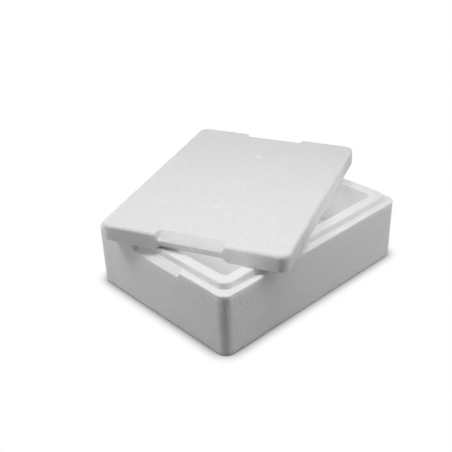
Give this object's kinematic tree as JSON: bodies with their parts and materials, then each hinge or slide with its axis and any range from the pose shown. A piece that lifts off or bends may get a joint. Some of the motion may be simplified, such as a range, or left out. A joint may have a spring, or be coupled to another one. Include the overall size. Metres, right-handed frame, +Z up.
{
  "type": "foam thermal box",
  "caption": "White moulded foam box with a raised lip round its cavity, and a loose flat lid with bevelled finger grips lying askew across the lip.",
  "frame": {"origin": "middle of the box's underside, on the surface that it stands on", "axes": "+Z up, +X along the box's length, +Y along its width"},
  "size_m": [0.4782, 0.4288, 0.142],
  "materials": {
    "foam": "white expanded foam of small pressed beads, matte"
  },
  "bodies": {
    "root": {"box": "foam", "lid": "foam"}
  },
  "joints": []
}
